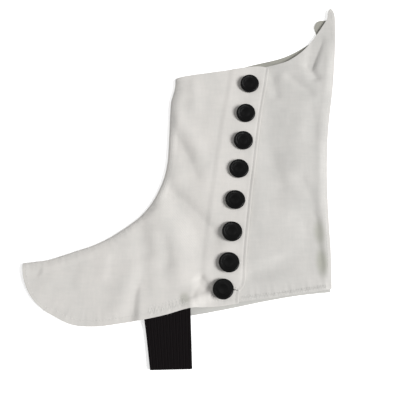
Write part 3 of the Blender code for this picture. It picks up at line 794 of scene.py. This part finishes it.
def thread_object(name, stitches, surface, material, way=1.0):
    """Stitches as short threads that arch out of the cloth and dive into it, joined in one mesh.

    They arch up from the surface, or down from it where way is -1.
    """
    starts = np.vstack([pair[0] for pair in stitches])
    ends = np.vstack([pair[1] for pair in stitches])
    count = len(starts)
    shares = np.linspace(0.0, 1.0, THREAD_STATIONS)
    runs = ends - starts
    left = np.column_stack([-runs[:, 1], runs[:, 0]]) / np.linalg.norm(runs, axis=1)[:, None]
    centres = starts[:, None, :] + shares[None, :, None] * runs[:, None, :]
    rise, dive = THREAD_ARCH
    arch = way * THREAD_RADIUS * (rise * 4 * shares * (1 - shares) - dive)
    heights = surface(centres.reshape(-1, 2)).reshape(count, -1) + arch
    turns = 2 * math.pi * np.arange(THREAD_SIDES) / THREAD_SIDES
    sideways = THREAD_RADIUS * np.cos(turns)
    flat = centres[:, :, None, :] + sideways[None, None, :, None] * left[:, None, None, :]
    up = heights[:, :, None] + THREAD_RADIUS * np.sin(turns)[None, None, :]
    points = [world(x, y, z) for (x, y), z in zip(flat.reshape(-1, 2), up.reshape(-1))]
    faces = []
    for stitch in range(count):
        first = stitch * THREAD_STATIONS * THREAD_SIDES
        last = first + (THREAD_STATIONS - 1) * THREAD_SIDES
        faces.append(tuple(reversed(range(first, first + THREAD_SIDES))))
        for ring in range(first, last, THREAD_SIDES):
            next_ring = ring + THREAD_SIDES
            for k in range(THREAD_SIDES):
                beside = (k + 1) % THREAD_SIDES
                faces.append((ring + k, ring + beside, next_ring + beside, next_ring + k))
        faces.append(tuple(range(last, last + THREAD_SIDES)))
    return link(bpy.data.objects.new(name, mesh_from(name, points, faces, material)))


def hem_stretch(curve, inset):
    """Where along an inset hem the strap's end is sewn: the lengths at its two sides."""
    line = inset_curve(curve, inset)
    along = lengths_along(line)
    order = np.argsort(line[:, 0])
    near, far = np.interp(STRAP_TACK, line[order, 0], along[order])
    return sorted((near, far))


def strap_stitches(hem):
    """The strap's end sewn through a hem: a zigzag and a row above it."""
    start, end = hem_stretch(hem, -TACK_MIDDLE)
    low, high, pitch = TACK_ZIGZAG
    zigzag = zigzag_stitches(inset_curve(hem, -low), inset_curve(hem, -high), start, end, pitch)
    row_inset, spacing = TACK_ROW
    row = point_at(inset_curve(hem, -row_inset), np.arange(start, end, spacing))
    return [zigzag, running_stitches(row)]


def make_threads(white, shaded):
    """All the sewing that shows, a piece for each panel."""
    toe = section_rows(FRONT_FOOT, None, np.linspace(0.0, 1.0, TOE_POINTS), TOE_STEPS)[-1]
    rounds = np.vstack([INSTEP, toe[1:]])
    front = [
        running_stitches(inset_curve(FLAP_EDGE, -FLAP_STITCH_INSET)),
        running_stitches(inset_curve(FRONT_HEM, -HEM_STITCH_INSET)),
        running_stitches(inset_curve(rounds, SEAM_STITCH_INSET)),
    ]
    front += strap_stitches(FRONT_HEM)
    front += [buttonhole_stitches(place) for place in BUTTONS]
    low, high, pitch = OVERCAST
    past_flap, before_heel = OVERCAST_ENDS
    flap_foot = np.searchsorted(BACK_HEM_FINE[:, 0], FLAP_EDGE[-1, 0] + past_flap)
    open_hem = BACK_HEM_FINE[flap_foot:]
    end = lengths_along(open_hem)[-1] - before_heel
    back = [
        zigzag_stitches(inset_curve(open_hem, low), inset_curve(open_hem, high), 0.0, end, pitch),
        running_stitches(inset_curve(BACK_SEAM[:BACK_ROW_END], -SEAM_STITCH_INSET)),
    ]
    inner = [
        running_stitches(inset_curve(INNER_HEM, -HEM_STITCH_INSET)),
        running_stitches(inset_curve(INNER_INSTEP, SEAM_STITCH_INSET)),
        running_stitches(inset_curve(INNER_SEAM, -SEAM_STITCH_INSET)),
    ]
    inner += strap_stitches(INNER_HEM)
    return [
        thread_object("front_sewing", front, lambda p: front_height(p) + CLOTH, white),
        thread_object("back_sewing", back, lambda p: back_height(p) + CLOTH, white),
        thread_object("inner_sewing", inner, inner_height, shaded, -1.0),
    ]


# ---------------------------------------------------------------- materials

def node(tree, kind, **settings):
    """Add a shader node and set its properties."""
    new = tree.nodes.new(kind)
    for name, value in settings.items():
        setattr(new, name, value)
    return new


def base_material(name, colour, roughness):
    """A Principled material and its tree and shader."""
    material = bpy.data.materials.new(name)
    material.use_nodes = True
    tree = material.node_tree
    shader = tree.nodes["Principled BSDF"]
    shader.inputs["Base Color"].default_value = (*colour, 1.0)
    shader.inputs["Roughness"].default_value = roughness
    return material, tree, shader


def noise_texture(tree, coordinates, scale, detail, roughness=0.5):
    """A noise texture on the given coordinates."""
    texture = node(tree, "ShaderNodeTexNoise")
    texture.inputs["Scale"].default_value = scale
    texture.inputs["Detail"].default_value = detail
    texture.inputs["Roughness"].default_value = roughness
    tree.links.new(coordinates, texture.inputs["Vector"])
    return texture.outputs["Fac"]


def ramp(tree, factor, stops):
    """A colour ramp with stops of (position, colour)."""
    new = node(tree, "ShaderNodeValToRGB")
    elements = new.color_ramp.elements
    while len(elements) < len(stops):
        elements.new(0.5)
    for element, (position, colour) in zip(elements, stops):
        element.position = position
        element.color = (*colour, 1.0)
    tree.links.new(factor, new.inputs["Fac"])
    return new.outputs["Color"]


def stretched(tree, coordinates, scales):
    """Coordinates stretched differently along X, Y and Z."""
    mapping = node(tree, "ShaderNodeMapping")
    mapping.inputs["Scale"].default_value = scales
    tree.links.new(coordinates, mapping.inputs["Vector"])
    return mapping.outputs["Vector"]


def mix_factors(tree, first, second, share):
    """A mix of two factors, with the given share of the second."""
    mixed = node(tree, "ShaderNodeMix", data_type="FLOAT")
    mixed.inputs["Factor"].default_value = share
    tree.links.new(first, mixed.inputs["A"])
    tree.links.new(second, mixed.inputs["B"])
    return mixed.outputs["Result"]


def mix_colours(tree, factor, first, second):
    """A mix of a colour from a node with a plain second colour."""
    mixed = node(tree, "ShaderNodeMix", data_type="RGBA")
    tree.links.new(factor, mixed.inputs["Factor"])
    tree.links.new(first, mixed.inputs[MIX_FIRST_COLOUR])
    mixed.inputs[MIX_SECOND_COLOUR].default_value = (*second, 1.0)
    return mixed.outputs[MIX_COLOUR_RESULT]


def add_bump(tree, shader, height, strength, distance):
    """Give a shader a fine relief. The distance is in metres."""
    bump = node(tree, "ShaderNodeBump")
    bump.inputs["Strength"].default_value = strength
    bump.inputs["Distance"].default_value = distance
    tree.links.new(height, bump.inputs["Height"])
    tree.links.new(bump.outputs["Normal"], shader.inputs["Normal"])


def cotton_material(name, light, dark, near_hem_colour=None, shade_spots=()):
    """Matt drill: slightly uneven white with faint slubs along warp and weft, and a fine twill bump.

    A colour given for near the hem is mixed in there, where the inner side's painted shade fades out,
    and painted shade darkens the cloth in the creases at the given spots.
    """
    material, tree, shader = base_material(name, light, 0.88)
    shader.inputs["Sheen Weight"].default_value = 0.12
    shader.inputs["Sheen Roughness"].default_value = 0.6
    shader.inputs["Specular IOR Level"].default_value = 0.25
    place = node(tree, "ShaderNodeTexCoord").outputs["Object"]
    patches = noise_texture(tree, place, 34.0, 3.0)
    warp = noise_texture(tree, stretched(tree, place, (5.0, 1.0, 1.0)), 90.0, 3.0)
    weft = noise_texture(tree, stretched(tree, place, (1.0, 5.0, 1.0)), 90.0, 3.0)
    slubs = mix_factors(tree, warp, weft, 0.5)
    tint = ramp(tree, mix_factors(tree, patches, slubs, 0.5), [(0.38, dark), (0.62, light)])
    # Near the hem the inner side's painted shade gives way to a lighter tone.
    if near_hem_colour:
        tint = lighter_near_hem(tree, place, tint, near_hem_colour)
    # Painted shade in the creases at the given spots.
    for spot in shade_spots:
        tint = paint_crease_shade(tree, place, tint, spot)
    tree.links.new(tint, shader.inputs["Base Color"])

    twill = node(tree, "ShaderNodeTexWave", wave_type="BANDS", bands_direction="DIAGONAL")
    twill.inputs["Scale"].default_value = 520.0
    twill.inputs["Distortion"].default_value = 0.6
    twill.inputs["Detail"].default_value = 1.0
    tree.links.new(place, twill.inputs["Vector"])
    yarns = noise_texture(tree, place, 900.0, 3.0)
    relief = mix_factors(tree, twill.outputs["Fac"], yarns, 0.5)
    add_bump(tree, shader, relief, strength=0.5, distance=0.0002)
    return material


def lighter_near_hem(tree, place, tint, colour):
    """Mix a lighter colour in towards the hem, where the inner side's painted shade fades out."""
    split = node(tree, "ShaderNodeSeparateXYZ")
    tree.links.new(place, split.inputs["Vector"])
    near_hem = node(tree, "ShaderNodeMapRange")
    start, end = NEAR_HEM_FADE
    near_hem.inputs["From Min"].default_value = world(0.0, end, 0.0)[1]
    near_hem.inputs["From Max"].default_value = world(0.0, start, 0.0)[1]
    tree.links.new(split.outputs["Y"], near_hem.inputs["Value"])
    return mix_colours(tree, near_hem.outputs["Result"], tint, colour)


def paint_crease_shade(tree, place, tint, spot):
    """Paint shade softly inside an oval spot, darkening the cloth in a crease."""
    from_middle = node(tree, "ShaderNodeVectorMath", operation="SUBTRACT")
    tree.links.new(place, from_middle.inputs[0])
    from_middle.inputs[1].default_value = world(spot.x, spot.y, 0.0)
    share = node(tree, "ShaderNodeVectorMath", operation="DIVIDE")
    tree.links.new(from_middle.outputs["Vector"], share.inputs[0])
    share.inputs[1].default_value = (spot.half_width * MM, spot.half_height * MM, 1.0)
    reach = node(tree, "ShaderNodeVectorMath", operation="LENGTH")
    tree.links.new(share.outputs["Vector"], reach.inputs[0])
    amount = node(tree, "ShaderNodeMapRange", interpolation_type="SMOOTHSTEP")
    amount.inputs["From Min"].default_value = 1.0
    amount.inputs["From Max"].default_value = SPOT_CORE
    amount.inputs["To Max"].default_value = spot.strength
    tree.links.new(reach.outputs["Value"], amount.inputs["Value"])
    return mix_colours(tree, amount.outputs["Result"], tint, CREASE_SHADE)


def thread_material(name, colour):
    """Twisted sewing cotton."""
    material, tree, shader = base_material(name, colour, 0.8)
    shader.inputs["Sheen Weight"].default_value = 0.2
    shader.inputs["Specular IOR Level"].default_value = 0.3
    place = node(tree, "ShaderNodeTexCoord").outputs["Object"]
    fibres = noise_texture(tree, place, 2400.0, 2.0)
    darker = tuple(0.82 * part for part in colour)
    tree.links.new(ramp(tree, fibres, [(0.3, darker), (0.7, colour)]), shader.inputs["Base Color"])
    add_bump(tree, shader, fibres, strength=0.3, distance=0.0001)
    return material


def elastic_material():
    """Black webbing elastic with fine ribs across its width."""
    material, tree, shader = base_material("black_elastic", (0.008, 0.007, 0.007), 0.75)
    shader.inputs["Specular IOR Level"].default_value = 0.03
    place = node(tree, "ShaderNodeTexCoord").outputs["Object"]
    ribs = node(tree, "ShaderNodeTexWave", wave_type="BANDS", bands_direction="X")
    ribs.inputs["Scale"].default_value = 260.0
    tree.links.new(place, ribs.inputs["Vector"])
    stops = [(0.2, (0.005, 0.004, 0.0045)), (0.8, (0.012, 0.010, 0.0105))]
    tree.links.new(ramp(tree, ribs.outputs["Fac"], stops), shader.inputs["Base Color"])
    add_bump(tree, shader, ribs.outputs["Fac"], strength=0.5, distance=0.0003)
    return material


def button_material():
    """Satin black with a faint pebbled grain."""
    material, tree, shader = base_material("button_black", (0.005, 0.005, 0.005), 0.3)
    shader.inputs["Specular IOR Level"].default_value = 0.16
    place = node(tree, "ShaderNodeTexCoord").outputs["Object"]
    grain = noise_texture(tree, place, 1400.0, 3.0, 0.6)
    add_bump(tree, shader, grain, strength=0.2, distance=0.0002)
    return material


# ---------------------------------------------------------------- studio

def make_floor():
    """A plain white table."""
    bpy.ops.mesh.primitive_plane_add(size=TABLE_SIZE, location=(0.0, 0.0, -TABLE_GAP))
    floor = bpy.context.object
    floor.name = "table"
    material, _, shader = base_material("table_white", (0.93, 0.93, 0.93), 0.9)
    shader.inputs["Emission Color"].default_value = (1.0, 1.0, 1.0, 1.0)
    shader.inputs["Emission Strength"].default_value = 0.55
    floor.data.materials.append(material)


def area_light(name, place, size, power):
    """A square soft light, aimed at the middle of the spat."""
    data = bpy.data.lights.new(name, "AREA")
    data.shape = "SQUARE"
    data.size = size
    data.energy = power
    lamp = link(bpy.data.objects.new(name, data))
    lamp.location = place
    lamp.rotation_euler = (-Vector(place)).to_track_quat("-Z", "Y").to_euler()


def make_lights():
    """Soft key from the heel side, and an even white fill."""
    area_light("key", (1.95, -0.5, 1.9), size=1.1, power=74.0)
    area_light("fill", (-0.8, 0.1, 1.5), size=1.4, power=4.0)
    sky = bpy.data.worlds.new("studio")
    sky.use_nodes = True
    sky.node_tree.nodes["Background"].inputs["Color"].default_value = (1.0, 1.0, 1.0, 1.0)
    sky.node_tree.nodes["Background"].inputs["Strength"].default_value = 0.20
    bpy.context.scene.world = sky
    bpy.context.scene.view_settings.view_transform = "Standard"


def make_camera():
    """The camera, tilted towards the top of the leg."""
    data = bpy.data.cameras.new("camera")
    data.lens = CAMERA_LENS
    data.sensor_width = CAMERA_SENSOR
    data.clip_start = 0.01
    camera = link(bpy.data.objects.new("camera", data))
    tilt = math.radians(CAMERA_TILT)
    camera.location = world(CAMERA_TARGET[0], CAMERA_TARGET[1] - CAMERA_DISTANCE * math.sin(tilt),
                            CAMERA_DISTANCE * math.cos(tilt))
    camera.rotation_euler = (tilt, 0.0, 0.0)
    bpy.context.scene.camera = camera


def dress(piece, node_name):
    """Put a finished piece in the place of its CAD node."""
    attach(piece, "root")
    if node_name:
        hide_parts(node_name)
    return piece


def main():
    """Build the visible spat and its studio."""
    make_camera()
    make_floor()
    make_lights()
    face_cotton = cotton_material("face_cotton", *FACE_COTTON, shade_spots=FRONT_SHADE_SPOTS)
    # The back panel wears a darker copy of the cotton, as painted shade.
    rear_cotton_shaded = cotton_material("rear_cotton_shaded", *REAR_COTTON_SHADED, shade_spots=REAR_SHADE_SPOTS)
    # The inner side is painted dark as shade inside the spat, and lighter near the hem.
    inner_cotton_shaded = cotton_material("inner_cotton_shaded", *INNER_COTTON_SHADED, near_hem_colour=INNER_NEAR_HEM)
    front = dress(make_front_panel(face_cotton), "front_panel")
    back = dress(make_back_panel(rear_cotton_shaded), "back_panel")
    medial = dress(make_medial_panel(inner_cotton_shaded), "medial_panel")
    strap = dress(make_foot_strap(elastic_material()), "foot_strap")
    thread_white = thread_material("thread_white", THREAD_WHITE)
    thread_shaded = thread_material("thread_shaded", THREAD_SHADED)
    for sewing in make_threads(thread_white, thread_shaded):
        dress(sewing, None)
    black = button_material()
    for number, place in enumerate(BUTTONS, start=1):
        dress(make_button(number, place, black), "button_%d" % number)


main()
